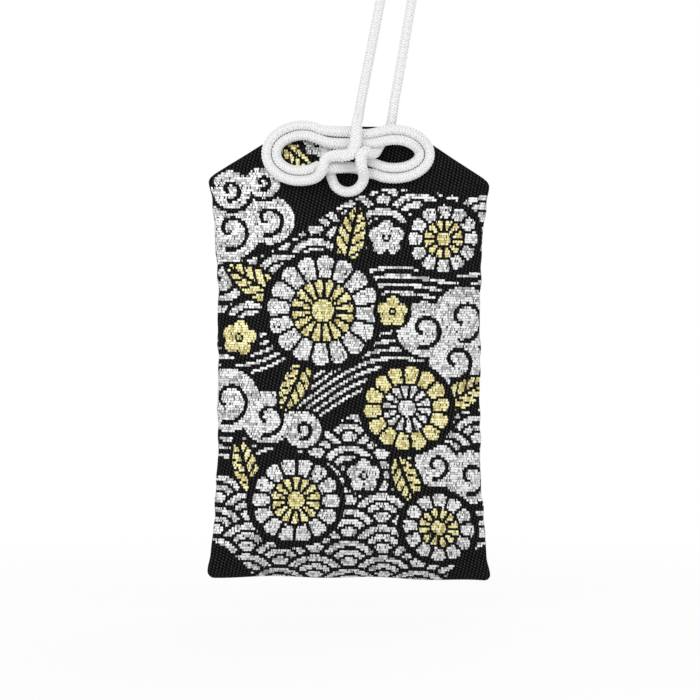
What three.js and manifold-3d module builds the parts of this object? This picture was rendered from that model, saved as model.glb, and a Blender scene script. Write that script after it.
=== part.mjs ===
// Omamori charm: a folded brocade pouch, tied at the mouth with one braided cord, holding a wrapped slip.
// Millimetres, +Z up, front towards -Y. Heights are measured from the pouch's top edge until the whole
// group is moved at the end, so that the origin is the point where a hook bears in the hanging loop.
import * as THREE from 'three';
import Module from 'manifold-3d';
import { mergeVertices } from 'three/addons/utils/BufferGeometryUtils.js';

const wasm = await Module();
wasm.setup();

// Pouch outline
const POUCH_HEIGHT = 80.5;
const MOUTH_WIDTH = 19.7;
const SHOULDER_WIDTH = 49.7;
const SHOULDER_DROP = 9.5;
const WAIST_WIDTH = 46.3;
const WAIST_TOP_DROP = 32;
const WAIST_FOOT_DROP = 54;
const FOOT_WIDTH = 50.2;
const FOOT_SAG = 0.35;

// Pouch fullness
const FLAT_DEPTH = 8;
const CROWN_DEPTH = 8.4;
const MOUTH_DEPTH = 3;
const MOUTH_TAPER = 26;
const FOOT_ROUND = 14;
const SIDE_SQUARENESS = 4;

// Facets: rows crowd towards the bottom fold
const ROW_CROWDING = 1.8;
const CLOTH_ROWS = 14;
const CLOTH_COLUMNS = 7;
const GABLE_ROWS = 4;
const LINING_ROWS = 11;
const LINING_COLUMNS = 6;

// Cloth, lining and sewing
const CLOTH = 0.7;
const SEAM_TURN_IN = 1.5;
const SEAM_GAP = 0.3;
const LINING = 0.25;
const LINING_TOP_BELOW_SHOULDER = 0.5;
const THREAD_DIAMETER = 0.4;
const STITCH_PITCH = 4;
const STITCH_SWING = 0.35;
const THREAD_END_MARGIN = 3;
const THREAD_SIDES = 5;
const STEPS_PER_STITCH = 4;
const SEAT_STEP = 0.05;
const CLEARANCE = 0.3;
const MERGE_TOLERANCE = 1e-5;

// Card and talisman
const CARD_WIDTH = 34;
const CARD_HEIGHT = 60;
const CARD_DEPTH = 3.2;
const CARD_WALL = 0.5;
const FOLD_SEGMENTS = 6;
const WRAPPER_WIDTH = 28;
const WRAPPER_HEIGHT = 56;
const WRAPPER_DEPTH = 1.6;
const PAPER = 0.25;
const SLIP_HEIGHT = 52;
const SLIP_PEAK = 4;
const SLIP_THICKNESS = 0.5;

// Cord
const CORD_DIAMETER = 1.75;
const STRAND_GAP = 0.42;
const LEAST_GAP_ALLOWED = 0.4;
const EYELET_PLAY = 0.3;
const KNOT_DROP = 4.5;
const EAR_STEP_ANGLE = 15;
const LAYER_ON_CLOTH = 0.95;
const LAYER_OVER_ONE = 2.8;
const TUBE_STEP = 1;
const KNOT_SIDES = 6;
const LOOP_SIDES = 8;
const LOOP_STEP = 2.2;
const CURVE_DIVISIONS = 40;
const NEIGHBOUR_DIAMETERS = 2.6;
const EYELET_SIDES = 16;

// Hanging loop
const HINGE_RISE = 4;
const HINGE_FRONT = 2.8;
const LOOP_FOOT_X = 5.05;
const LOOP_LEAN = 0.182;
const LEG_ROUND_STEPS = 3;

const KNOT_TUBE_DIAMETER = CORD_DIAMETER - STRAND_GAP;
const STUB_RISE = HINGE_RISE - CORD_DIAMETER / 2 - CLEARANCE;

function finish(name, color, roughness) {
  return new THREE.MeshStandardMaterial({ name, color, roughness, metalness: 0 });
}

const brocade = finish('brocade', 0x15151a, 0.8);
const liningCloth = finish('lining', 0x2a2a30, 0.9);
const thread = finish('thread', 0x101014, 0.7);
const card = finish('card', 0xb9ab92, 0.9);
const paper = finish('paper', 0xf2efe6, 0.9);
const wood = finish('wood', 0xd9bd8f, 0.7);
const cord = finish('cord', 0xf4f4f2, 0.7);

const clamp01 = (value) => Math.min(Math.max(value, 0), 1);
const lerp = THREE.MathUtils.lerp;
const radians = THREE.MathUtils.degToRad;

// Half width of the pouch at a height below its top edge
function halfWidthAt(z) {
  if (z > -SHOULDER_DROP) {
    return lerp(MOUTH_WIDTH, SHOULDER_WIDTH, -z / SHOULDER_DROP) / 2;
  }
  const towardsShoulder = clamp01((z + WAIST_TOP_DROP) / (WAIST_TOP_DROP - SHOULDER_DROP));
  const towardsFoot = clamp01((-z - WAIST_FOOT_DROP) / (POUCH_HEIGHT - WAIST_FOOT_DROP));
  const shoulderFlare = (SHOULDER_WIDTH - WAIST_WIDTH) * towardsShoulder ** 2;
  const footFlare = (FOOT_WIDTH - WAIST_WIDTH) * towardsFoot ** 2;
  return (WAIST_WIDTH + shoulderFlare + footFlare) / 2;
}

// Half depth of the pouch on its centreline, for a skin that lies a little way inside the cloth's face
function halfDepthAt(z, inset) {
  const rise = clamp01((z + POUCH_HEIGHT - inset) / FOOT_ROUND);
  const foot = Math.sqrt(1 - (1 - rise) ** 2);
  const opening = Math.sin((Math.PI / 2) * clamp01(-z / MOUTH_TAPER));
  return (lerp(MOUTH_DEPTH, CROWN_DEPTH, opening) / 2 - inset) * foot;
}

// Half depth at a place across the width, from -1 to 1, with the card holding the middle flat
function skinDepth(z, across, inset) {
  const edge = SEAM_GAP / 2;
  const bow = (1 - Math.abs(across) ** SIDE_SQUARENESS) ** (1 / SIDE_SQUARENESS);
  const depth = edge + (halfDepthAt(z, inset) - edge) * bow;
  return Math.min(depth, FLAT_DEPTH / 2 - inset);
}

// Heights of the rows of a folded strip, from the bottom fold up to its top edge
function rowHeights(foot, top, lowerRows, gableRows) {
  const shoulder = Math.min(-SHOULDER_DROP, top);
  const heights = [];
  for (let i = 0; i <= lowerRows; i += 1) {
    heights.push(lerp(foot, shoulder, (i / lowerRows) ** ROW_CROWDING));
  }
  for (let i = 1; i <= gableRows; i += 1) {
    heights.push(lerp(shoulder, top, i / gableRows));
  }
  return heights;
}

// One face of a folded strip as rows of points: down the front, round the bottom fold and up the back
function stripFace(heights, columns, inset, sideInset) {
  const rowAt = (index, side) => {
    const z = heights[index];
    const row = [];
    for (let k = -columns; k <= columns; k += 1) {
      const across = Math.sin((Math.PI / 2) * (k / columns));
      const x = across * (halfWidthAt(z) - sideInset);
      const y = index === 0 ? 0 : side * skinDepth(z, across, inset);
      const sag = index === 0 ? FOOT_SAG * (1 - across ** 2) : 0;
      row.push(new THREE.Vector3(x, y, z + sag));
    }
    return row;
  };
  const rows = [];
  for (let i = heights.length - 1; i >= 0; i -= 1) {
    rows.push(rowAt(i, -1));
  }
  for (let i = 1; i < heights.length; i += 1) {
    rows.push(rowAt(i, 1));
  }
  return rows;
}

// A geometry from points and triangles, turned so that its faces point out
function closedGeometry(points, triangles) {
  let volume = 0;
  const cross = new THREE.Vector3();
  for (const [a, b, c] of triangles) {
    volume += points[a].dot(cross.crossVectors(points[b], points[c]));
  }
  const facing = volume > 0 ? triangles : triangles.map(([a, b, c]) => [a, c, b]);
  const geometry = new THREE.BufferGeometry().setFromPoints(points);
  geometry.setIndex(facing.flat());
  geometry.computeVertexNormals();
  return geometry;
}

// A closed sheet between two faces that have the same rows and columns
function thickSheet(outerRows, innerRows) {
  const rows = outerRows.length;
  const columns = outerRows[0].length;
  const points = [...outerRows.flat(), ...innerRows.flat()];
  const outer = (i, k) => i * columns + k;
  const inner = (i, k) => rows * columns + i * columns + k;
  const triangles = [];
  const quad = (a, b, c, d) => triangles.push([a, b, c], [a, c, d]);
  for (let i = 0; i + 1 < rows; i += 1) {
    for (let k = 0; k + 1 < columns; k += 1) {
      quad(outer(i, k), outer(i + 1, k), outer(i + 1, k + 1), outer(i, k + 1));
      quad(inner(i, k), inner(i, k + 1), inner(i + 1, k + 1), inner(i + 1, k));
    }
    quad(outer(i, 0), inner(i, 0), inner(i + 1, 0), outer(i + 1, 0));
    const last = columns - 1;
    quad(outer(i, last), outer(i + 1, last), inner(i + 1, last), inner(i, last));
  }
  for (let k = 0; k + 1 < columns; k += 1) {
    quad(outer(0, k), outer(0, k + 1), inner(0, k + 1), inner(0, k));
    const last = rows - 1;
    quad(outer(last, k), inner(last, k), inner(last, k + 1), outer(last, k + 1));
  }
  return closedGeometry(points, triangles);
}

// A round tube along a list of points, with flat ends or with round ends centred on the first and last point
function tube(points, diameter, sides, roundSteps) {
  const radius = diameter / 2;
  const count = points.length;
  const tangentAt = (i) => {
    const before = points[Math.max(i - 1, 0)];
    const after = points[Math.min(i + 1, count - 1)];
    return new THREE.Vector3().subVectors(after, before).normalize();
  };
  const rings = [];
  let side = new THREE.Vector3(0, 1, 0);
  const addRing = (centre, tangent, ringRadius) => {
    side = side.clone().addScaledVector(tangent, -side.dot(tangent)).normalize();
    const up = new THREE.Vector3().crossVectors(tangent, side);
    const ring = [];
    for (let k = 0; k < sides; k += 1) {
      const turn = (2 * Math.PI * k) / sides;
      const spoke = side.clone().multiplyScalar(Math.cos(turn)).addScaledVector(up, Math.sin(turn));
      ring.push(centre.clone().addScaledVector(spoke, ringRadius));
    }
    rings.push(ring);
  };
  const addRoundEnd = (centre, tangent, outward, order) => {
    for (const step of order) {
      const angle = (Math.PI / 2) * (step / roundSteps);
      const ringCentre = centre.clone().addScaledVector(tangent, outward * radius * Math.sin(angle));
      addRing(ringCentre, tangent, radius * Math.cos(angle));
    }
  };
  const roundOrder = Array.from({ length: Math.max(roundSteps - 1, 0) }, (_, i) => i + 1);
  addRoundEnd(points[0], tangentAt(0), -1, [...roundOrder].reverse());
  points.forEach((point, i) => addRing(point, tangentAt(i), radius));
  addRoundEnd(points[count - 1], tangentAt(count - 1), 1, roundOrder);

  const tip = roundSteps > 0 ? radius : 0;
  const start = points[0].clone().addScaledVector(tangentAt(0), -tip);
  const end = points[count - 1].clone().addScaledVector(tangentAt(count - 1), tip);
  const vertices = [...rings.flat(), start, end];
  const startIndex = vertices.length - 2;
  const endIndex = vertices.length - 1;
  const at = (ring, k) => ring * sides + (k % sides);
  const triangles = [];
  for (let k = 0; k < sides; k += 1) {
    triangles.push([startIndex, at(0, k + 1), at(0, k)]);
    triangles.push([endIndex, at(rings.length - 1, k), at(rings.length - 1, k + 1)]);
    for (let r = 0; r + 1 < rings.length; r += 1) {
      triangles.push([at(r, k), at(r, k + 1), at(r + 1, k + 1)]);
      triangles.push([at(r, k), at(r + 1, k + 1), at(r + 1, k)]);
    }
  }
  return closedGeometry(vertices, triangles);
}

// Points at even steps along a smooth curve through hand-chosen points
function smoothPath(points, step) {
  const curve = new THREE.CatmullRomCurve3(points, false, 'centripetal');
  curve.arcLengthDivisions = CURVE_DIVISIONS * points.length;
  return curve.getSpacedPoints(Math.ceil(curve.getLength() / step));
}

function solidFrom(geometry) {
  const bare = geometry.clone();
  bare.deleteAttribute('normal');
  bare.deleteAttribute('uv');
  const merged = mergeVertices(bare, MERGE_TOLERANCE);
  const vertProperties = new Float32Array(merged.attributes.position.array);
  const triVerts = new Uint32Array(merged.index.array);
  return new wasm.Manifold(new wasm.Mesh({ numProp: 3, vertProperties, triVerts }));
}

function geometryFrom(solid) {
  const mesh = solid.getMesh();
  const geometry = new THREE.BufferGeometry();
  geometry.setAttribute('position', new THREE.BufferAttribute(new Float32Array(mesh.vertProperties), 3));
  geometry.setIndex(new THREE.BufferAttribute(new Uint32Array(mesh.triVerts), 1));
  geometry.computeVertexNormals();
  return geometry;
}

// A point of the knot: across, up from the knot's middle, and out from the front panel
function knotPoint(x, up, out) {
  const z = up - KNOT_DROP;
  return new THREE.Vector3(x, -halfDepthAt(Math.min(z, 0), 0) - out, z);
}

// Ears of the bow: each turn of the cord goes once round the right ear and once round the left one.
// Angles are in degrees; a strand lies on the cloth or climbs to lie over another one.
const RIGHT_EAR = {
  x: 8,
  up: -0.65,
  fromAngle: -125,
  toAngle: 125,
  climb: [10, 70],
  turns: [{ wide: 4.45, tall: 2.45 }, { wide: 6.27, tall: 4.27 }],
};
const LEFT_EAR = {
  x: -8.4,
  up: -0.5,
  fromAngle: 55,
  descent: [60, 120],
  climb: [240, 290],
  turns: [{ wide: 4.42, tall: 3.17, toAngle: 310 }, { wide: 6.2, tall: 4.97, toAngle: 280 }],
};
const TOP_CROSSING_UP = [1, 3.2];

function earPoint(ear, size, angle, out) {
  return [ear.x + size.wide * Math.cos(radians(angle)), ear.up + size.tall * Math.sin(radians(angle)), out];
}

function rightEarTurn(turn) {
  const size = RIGHT_EAR.turns[turn];
  const points = [];
  for (let angle = RIGHT_EAR.fromAngle; angle <= RIGHT_EAR.toAngle; angle += EAR_STEP_ANGLE) {
    const climb = THREE.MathUtils.smoothstep(angle, ...RIGHT_EAR.climb);
    points.push(earPoint(RIGHT_EAR, size, angle, lerp(LAYER_ON_CLOTH, LAYER_OVER_ONE, climb)));
  }
  return points;
}

function leftEarTurn(turn) {
  const size = LEFT_EAR.turns[turn];
  const points = [];
  for (let angle = LEFT_EAR.fromAngle; angle <= size.toAngle; angle += EAR_STEP_ANGLE) {
    const descent = THREE.MathUtils.smoothstep(angle, ...LEFT_EAR.descent);
    const climb = THREE.MathUtils.smoothstep(angle, ...LEFT_EAR.climb);
    points.push(earPoint(LEFT_EAR, size, angle, lerp(LAYER_OVER_ONE, LAYER_ON_CLOTH, descent - climb)));
  }
  return points;
}

// Small ring below the bow, from its right side round the bottom to its left side, where it lies on the cloth
const RING = {
  x: -0.2,
  up: -4.5,
  wide: 2.85,
  tall: 2.85,
  fromAngle: 20,
  toAngle: 180,
  settledAt: 90,
  startOut: 2.4,
};

function ringArc() {
  const points = [];
  for (let angle = RING.fromAngle; angle <= RING.toAngle; angle += 2 * EAR_STEP_ANGLE) {
    const settle = THREE.MathUtils.smoothstep(angle, 0, RING.settledAt);
    points.push(earPoint(RING, RING, -angle, lerp(RING.startOut, LAYER_ON_CLOTH, settle)));
  }
  return points;
}

const LEFT_EYELET = { x: -4, up: 0.1 };
const RIGHT_EYELET = { x: 2.75, up: 0.25 };
const INSIDE_RUN = -1.85;

// The tied stretch in one run: right leg, ring, left eyelet, inside, right eyelet, bow, left leg
const knotRoute = [
  [7.8, KNOT_DROP + STUB_RISE, 1.3],
  [7.55, 5.4, 1.15],
  [7.2, 4.2, 0.95],
  [6.5, 2.7, 0.95],
  [5.6, 1.2, 0.95],
  [4.95, 0.02, 1.4],
  [4.45, -0.6, 2.2],
  [3.65, -0.75, 3.45],
  [2.85, -0.5, 4.4],
  [2.2, -1.15, 4.65],
  [2.1, -2.2, 4.65],
  [2.3, -3.4, 4.3],
  [2.55, -4.5, 3],
  ...ringArc(),
  [-3.55, -3, 0.95],
  [-3.95, -1.6, 0.95],
  [-4, -0.4, 0.6],
  [LEFT_EYELET.x, LEFT_EYELET.up, -0.4],
  [-3.7, 0.15, -1.5],
  [-2.6, 0.1, INSIDE_RUN],
  [-1, 0.15, INSIDE_RUN],
  [0.8, 0.2, INSIDE_RUN],
  [2.4, 0.25, -1.5],
  [RIGHT_EYELET.x, RIGHT_EYELET.up, -0.4],
  [2.9, -0.2, 0.45],
  [3.15, -1.5, LAYER_ON_CLOTH],
  ...rightEarTurn(0),
  [2.9, 1, 2.8],
  [0, TOP_CROSSING_UP[0], 2.8],
  [-3.2, 1.2, 2.8],
  ...leftEarTurn(0),
  [-4.2, -3.2, 2.8],
  [-3, -3.2, 2.8],
  [-1.6, -3.1, 2],
  [0, -3, 1.2],
  [1.6, -3.2, 1.05],
  [3, -3.95, 0.98],
  ...rightEarTurn(1),
  [2.6, 2.76, 2.8],
  [0, TOP_CROSSING_UP[1], 2.8],
  [-2.2, 3.3, 2.8],
  ...leftEarTurn(1),
  [-6.1, -5.1, 3],
  [-5.1, -4.4, 4],
  [-4.55, -3.3, 4.6],
  [-4.25, -2.1, 4.65],
  [-3.6, -1.5, 4.6],
  [-2.4, -1.2, 4.55],
  [-0.9, -1.15, 4.5],
  [0.35, -0.75, 4.5],
  [1.05, 0.7, 4.6],
  [1.25, 2.4, 4.7],
  [1.35, 4, 4.5],
  [1.52, 5.3, 3.2],
  [1.7, 6.2, 1.7],
  [1.87, KNOT_DROP + STUB_RISE, 1.3],
];

// The least gap of a tube to itself, between points that are more than a few diameters apart along it
function leastGapToItself(points, diameter, step) {
  const apart = Math.ceil((NEIGHBOUR_DIAMETERS * diameter) / step);
  let least = Infinity;
  for (let i = 0; i < points.length; i += 1) {
    for (let j = i + apart; j < points.length; j += 1) {
      least = Math.min(least, points[i].distanceTo(points[j]));
    }
  }
  return least - diameter;
}

function makeKnotCord() {
  const chosen = knotRoute.map(([x, up, out]) => knotPoint(x, up, out));
  const fineStep = TUBE_STEP / 4;
  const gap = leastGapToItself(smoothPath(chosen, fineStep), KNOT_TUBE_DIAMETER, fineStep);
  const verdict = gap > LEAST_GAP_ALLOWED ? 'clear' : 'too close';
  console.log(`knot_cord: least gap to itself ${gap.toFixed(3)} mm, ${verdict}`);
  return tube(smoothPath(chosen, TUBE_STEP), KNOT_TUBE_DIAMETER, KNOT_SIDES, 0);
}

// Half of the hanging loop, leg and bight, as distance from its middle line and height above the hinge
const LOOP_HALF = [
  [2.95, 0], [2.9, 6], [2.82, 12], [2.76, 18], [2.75, 24],
  [2.85, 30], [3.15, 35], [3.5, 39], [3.45, 42], [2.6, 44.7],
];
const LOOP_TOP = 46;

function loopPoint(across, rise) {
  return new THREE.Vector3(LOOP_FOOT_X + across + rise * LOOP_LEAN, -HINGE_FRONT, HINGE_RISE + rise);
}

function makeHangingLoop() {
  const left = LOOP_HALF.map(([across, rise]) => loopPoint(-across, rise));
  const right = LOOP_HALF.map(([across, rise]) => loopPoint(across, rise)).reverse();
  const path = smoothPath([...left, loopPoint(0, LOOP_TOP), ...right], LOOP_STEP);
  return tube(path, CORD_DIAMETER, LOOP_SIDES, LEG_ROUND_STEPS);
}

function eyeletCutter({ x, up }) {
  const radius = (CORD_DIAMETER + EYELET_PLAY) / 2;
  const geometry = new THREE.CylinderGeometry(radius, radius, CROWN_DEPTH / 2, EYELET_SIDES);
  geometry.translate(x, -CROWN_DEPTH / 4, up - KNOT_DROP);
  return solidFrom(geometry);
}

function makeBrocadeCloth() {
  const outerHeights = rowHeights(-POUCH_HEIGHT, 0, CLOTH_ROWS, GABLE_ROWS);
  const outer = stripFace(outerHeights, CLOTH_COLUMNS, 0, 0);
  const innerHeights = rowHeights(-POUCH_HEIGHT + CLOTH, 0, CLOTH_ROWS, GABLE_ROWS);
  const inner = stripFace(innerHeights, CLOTH_COLUMNS, CLOTH, SEAM_TURN_IN);
  let solid = solidFrom(thickSheet(outer, inner));
  for (const eyelet of [LEFT_EYELET, RIGHT_EYELET]) {
    solid = solid.subtract(eyeletCutter(eyelet));
  }
  return geometryFrom(solid);
}

const LINING_INSET = CLOTH + CLEARANCE;
const LINING_SIDE_INSET = SEAM_TURN_IN + CLEARANCE + THREAD_DIAMETER + CLEARANCE;

function makeLining() {
  const top = -SHOULDER_DROP - LINING_TOP_BELOW_SHOULDER;
  const innerInset = LINING_INSET + LINING;
  const outerHeights = rowHeights(-POUCH_HEIGHT + LINING_INSET, top, LINING_ROWS, 0);
  const innerHeights = rowHeights(-POUCH_HEIGHT + innerInset, top, LINING_ROWS, 0);
  const outer = stripFace(outerHeights, LINING_COLUMNS, LINING_INSET, LINING_SIDE_INSET);
  const inner = stripFace(innerHeights, LINING_COLUMNS, innerInset, LINING_SIDE_INSET + LINING);
  return thickSheet(outer, inner);
}

// The sewing of one side: a thread that swings across the seam line inside the turned-in edges
function makeSideSeamThread(side) {
  const top = -SHOULDER_DROP - THREAD_END_MARGIN;
  const foot = -POUCH_HEIGHT + LINING_INSET + THREAD_END_MARGIN;
  const stitches = Math.round((top - foot) / STITCH_PITCH);
  const points = [];
  const steps = STEPS_PER_STITCH * stitches;
  for (let i = 0; i <= steps; i += 1) {
    const z = lerp(foot, top, i / steps);
    const x = side * (halfWidthAt(z) - SEAM_TURN_IN - CLEARANCE - THREAD_DIAMETER / 2);
    points.push(new THREE.Vector3(x, STITCH_SWING * Math.sin((Math.PI / 2) * i), z));
  }
  return tube(points, THREAD_DIAMETER, THREAD_SIDES, 0);
}

// The height at which a flat thing of a given width and depth comes to rest in the lining's narrowing foot
function seatInLining(width, depth) {
  const inset = LINING_INSET + LINING;
  let z = -POUCH_HEIGHT + inset;
  const room = () => {
    const across = width / 2 / (halfWidthAt(z) - LINING_SIDE_INSET - LINING);
    return skinDepth(z, across, inset);
  };
  while (room() < depth / 2 + CLEARANCE && z < -SHOULDER_DROP) {
    z += SEAT_STEP;
  }
  return z;
}

const CARD_FOOT = seatInLining(CARD_WIDTH, CARD_DEPTH);

// A card folded once at its foot, so that it stands behind and in front of the talisman
function makeCoreCard() {
  const outer = CARD_DEPTH / 2;
  const inner = outer - CARD_WALL;
  const profile = new THREE.Shape();
  profile.moveTo(outer, CARD_HEIGHT);
  profile.lineTo(outer, outer);
  profile.absarc(0, outer, outer, 0, -Math.PI, true);
  profile.lineTo(-outer, CARD_HEIGHT);
  profile.lineTo(-inner, CARD_HEIGHT);
  profile.lineTo(-inner, outer);
  profile.absarc(0, outer, inner, -Math.PI, 0, false);
  profile.lineTo(inner, CARD_HEIGHT);
  profile.closePath();
  const extrusion = { depth: CARD_WIDTH, bevelEnabled: false, curveSegments: FOLD_SEGMENTS };
  const geometry = new THREE.ExtrudeGeometry(profile, extrusion);
  geometry.translate(0, 0, -CARD_WIDTH / 2);
  geometry.rotateX(Math.PI / 2);
  geometry.rotateZ(Math.PI / 2);
  geometry.translate(0, 0, CARD_FOOT);
  return geometry;
}

// Height at which the sleeve's flat foot meets the round inside of the card's fold, with its clearance
const cardInner = CARD_DEPTH / 2 - CARD_WALL;
const foldRise = cardInner - Math.sqrt(cardInner ** 2 - (WRAPPER_DEPTH / 2) ** 2);
const WRAPPER_FOOT = CARD_FOOT + CARD_WALL + foldRise + CLEARANCE;

function makeTalismanWrapper() {
  const outer = new THREE.BoxGeometry(WRAPPER_WIDTH, WRAPPER_DEPTH, WRAPPER_HEIGHT);
  outer.translate(0, 0, WRAPPER_FOOT + WRAPPER_HEIGHT / 2);
  const room = 2 * PAPER;
  const inner = new THREE.BoxGeometry(WRAPPER_WIDTH - room, WRAPPER_DEPTH - room, WRAPPER_HEIGHT);
  inner.translate(0, 0, WRAPPER_FOOT + PAPER + WRAPPER_HEIGHT / 2);
  return geometryFrom(solidFrom(outer).subtract(solidFrom(inner)));
}

function makeTalismanSlip() {
  const half = WRAPPER_WIDTH / 2 - PAPER - CLEARANCE;
  const outline = new THREE.Shape();
  outline.moveTo(-half, 0);
  outline.lineTo(half, 0);
  outline.lineTo(half, SLIP_HEIGHT - SLIP_PEAK);
  outline.lineTo(0, SLIP_HEIGHT);
  outline.lineTo(-half, SLIP_HEIGHT - SLIP_PEAK);
  outline.closePath();
  const geometry = new THREE.ExtrudeGeometry(outline, { depth: SLIP_THICKNESS, bevelEnabled: false });
  geometry.rotateX(Math.PI / 2);
  geometry.translate(0, SLIP_THICKNESS / 2, WRAPPER_FOOT + PAPER + CLEARANCE);
  return geometry;
}

function named(name, geometry, material) {
  const mesh = new THREE.Mesh(geometry, material);
  mesh.name = name;
  return mesh;
}

const pouch = new THREE.Group();
pouch.add(
  named('brocade_cloth', makeBrocadeCloth(), brocade),
  named('lining', makeLining(), liningCloth),
  named('side_seam_thread_left', makeSideSeamThread(-1), thread),
  named('side_seam_thread_right', makeSideSeamThread(1), thread),
  named('core_card', makeCoreCard(), card),
);

const talisman = new THREE.Group();
talisman.add(
  named('talisman_wrapper', makeTalismanWrapper(), paper),
  named('talisman_slip', makeTalismanSlip(), wood),
);

const charm = new THREE.Group();
charm.add(
  pouch,
  talisman,
  named('knot_cord', makeKnotCord(), cord),
  named('hanging_loop', makeHangingLoop(), cord),
);
const hookPoint = loopPoint(0, LOOP_TOP).sub(new THREE.Vector3(0, 0, CORD_DIAMETER / 2));
charm.position.copy(hookPoint).negate();

export default charm;
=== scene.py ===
import math

import bpy
import numpy as np
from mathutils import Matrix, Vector


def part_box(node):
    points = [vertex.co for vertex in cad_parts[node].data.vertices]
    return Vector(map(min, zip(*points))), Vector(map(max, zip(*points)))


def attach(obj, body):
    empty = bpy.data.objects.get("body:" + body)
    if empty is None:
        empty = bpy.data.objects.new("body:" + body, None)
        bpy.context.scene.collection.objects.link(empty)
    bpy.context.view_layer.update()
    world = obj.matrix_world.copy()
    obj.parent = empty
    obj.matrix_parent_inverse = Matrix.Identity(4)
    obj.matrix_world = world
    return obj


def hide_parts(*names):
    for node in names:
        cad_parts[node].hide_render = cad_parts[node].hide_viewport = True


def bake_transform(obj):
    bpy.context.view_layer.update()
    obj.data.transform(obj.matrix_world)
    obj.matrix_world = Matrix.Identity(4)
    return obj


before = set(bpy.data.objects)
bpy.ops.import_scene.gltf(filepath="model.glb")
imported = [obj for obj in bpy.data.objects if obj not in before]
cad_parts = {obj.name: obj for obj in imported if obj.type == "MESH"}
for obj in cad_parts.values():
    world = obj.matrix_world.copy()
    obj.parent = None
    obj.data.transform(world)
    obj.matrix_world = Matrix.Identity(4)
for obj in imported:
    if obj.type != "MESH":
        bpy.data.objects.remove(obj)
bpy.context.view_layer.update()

MM = 0.001
CLOTH_LOW, CLOTH_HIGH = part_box("brocade_cloth")
POUCH_HEIGHT = (CLOTH_HIGH.z - CLOTH_LOW.z) / MM
FOOT_WIDTH = (CLOTH_HIGH.x - CLOTH_LOW.x) / MM
FLAT_DEPTH = (CLOTH_HIGH.y - CLOTH_LOW.y) / MM
TOP_EDGE_MIDDLE = np.array([
    (CLOTH_LOW.x + CLOTH_HIGH.x) / 2,
    (CLOTH_LOW.y + CLOTH_HIGH.y) / 2,
    CLOTH_HIGH.z,
])

# The photograph's frame
FRAME_WIDTH = 124.6
FRAME_MIDDLE_X = 0.18
FRAME_MIDDLE_DROP = 39.7
LENS = 120
SENSOR = 36
CLIP_START = 0.01

# Pouch outline and fullness
MOUTH_WIDTH = 19.7
SHOULDER_WIDTH = 49.7
SHOULDER_DROP = 9.5
SHOULDER_ROUND = 1.6
CORNER_ROUND = 1.2
WAIST_WIDTH = 46.3
WAIST_TOP_DROP = 32
WAIST_FOOT_DROP = 54
FOOT_SAG = 0.35
SIDE_FULLNESS = 0.35
RIGHT_DROOP = 0.0145
CROWN_DEPTH = 8.4
MOUTH_DEPTH = 3
MOUTH_TAPER = 26
FOOT_ROUND = 14
SIDE_SQUARENESS = 4
CLOTH = 0.6
SEAM_TURN_IN = 1.5
SEAM_GROOVE = 0.35
SEAM_GROOVE_WIDTH = 0.006
EDGE_GAP = 0.06
CLOTH_LIP = 0.35
RIM_STEPS = ((0.2, 0.23), (0.5, 0.0), (0.8, 0.23))
CLOTH_ROWS = 210
CLOTH_COLUMNS = 56
ROW_CROWDING = 1.7

# Unevenness of the hand-filled cloth, by waves that turn so many radians per millimetre across and up
DENT_BROAD = 0.26
DENT_BROAD_WAVES = ((0.19, 0.11), (-0.07, 0.13))
DENT_FINE = 0.09
DENT_FINE_WAVES = ((0.47, -0.31), (0.21, 0.39))
DENT_PHASE = 1.3
GATHERS = 9
GATHER_TURN = 0.6
GATHER_HEIGHT = 0.16
GATHER_REACH = 11
GATHER_STRETCH = 1.4
GATHER_START = (2, 6)
PUCKER_BROAD = {"height": 0.2, "turn": 1.05, "phase": 1.7, "slant": 6}
PUCKER_FINE = {"height": 0.12, "turn": 2.3, "phase": 2, "slant": 0}
PUCKER_BAND_IN = (0.72, 0.9)
PUCKER_BAND_OUT = (0.965, 0.995)
SEAM_STITCH_PULL = 0.05
SEAM_SLOW_PULL = 0.09
SEAM_SLOW_TURN = 0.45
SEAM_QUICK_PULL = 0.07
SEAM_QUICK_TURN = 1.1
SEAM_PULL_FADE = 6
FULL_FROM_DEPTH = 1.5
FOOT_SAG_HEIGHT = 7
FOOT_WAVE = 0.15
FOOT_WAVE_TURN = 0.35

# Lining and sewing
LINING = 0.25
LINING_INSET = 1.0
LINING_SIDE_INSET = 2.5
LINING_TOP_DROP = 10
THREAD_DIAMETER = 0.4
THREAD_SEAT = 0.5
THREAD_END_MARGIN = 3
THREAD_STEP = 0.2
THREAD_SIDES = 10
THREAD_TWIST = 0.5
THREAD_VALLEY = 0.8
STITCH_PITCH = 4
STITCH_SWING = 0.35

# Weave: weft picks run across the pouch, warp ends run down it
PICK_PITCH = 0.43
END_PITCH = 0.16
FLAT_WIDTH = 50.0
FLOAT_WIDTH = 0.47
TIE_GAP = 0.03
END_STRAY = 0.05
PICK_STRAY = 0.02
FLOAT_RISE = 0.09
TIE_STEP = 1
TIE_REPEAT = 3
STRAY_TIES = 0.22
SKIPPED_ENDS = 1
SKIPPED_SHARE = 0.3
TAUT_LENGTH = 1.0
SHORT_FLOAT_RISE = 0.6
EDGE_MARGIN = 0.35
TOP_MARGIN = 0.5
GABLE_MARGIN = 1.3
FLOAT_STATIONS = np.array([0.0, 0.5, 1.0])
FLOAT_PROFILE = np.array([0.25, 1.0, 0.25])
FLOAT_TAPER = np.array([0.65, 1.0, 0.65])
FLOAT_LANES = np.array([-0.5, 0.0, 0.5])
FLOAT_ROUND = np.array([0.25, 1.0, 0.25])
LENGTH_STEPS = 3000
ARC_STEPS = 2000
NORMAL_STEP = 0.05
WEAVE_UV = "weave"
SILVER_SEED = 3
GOLD_SEED = 5

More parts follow.
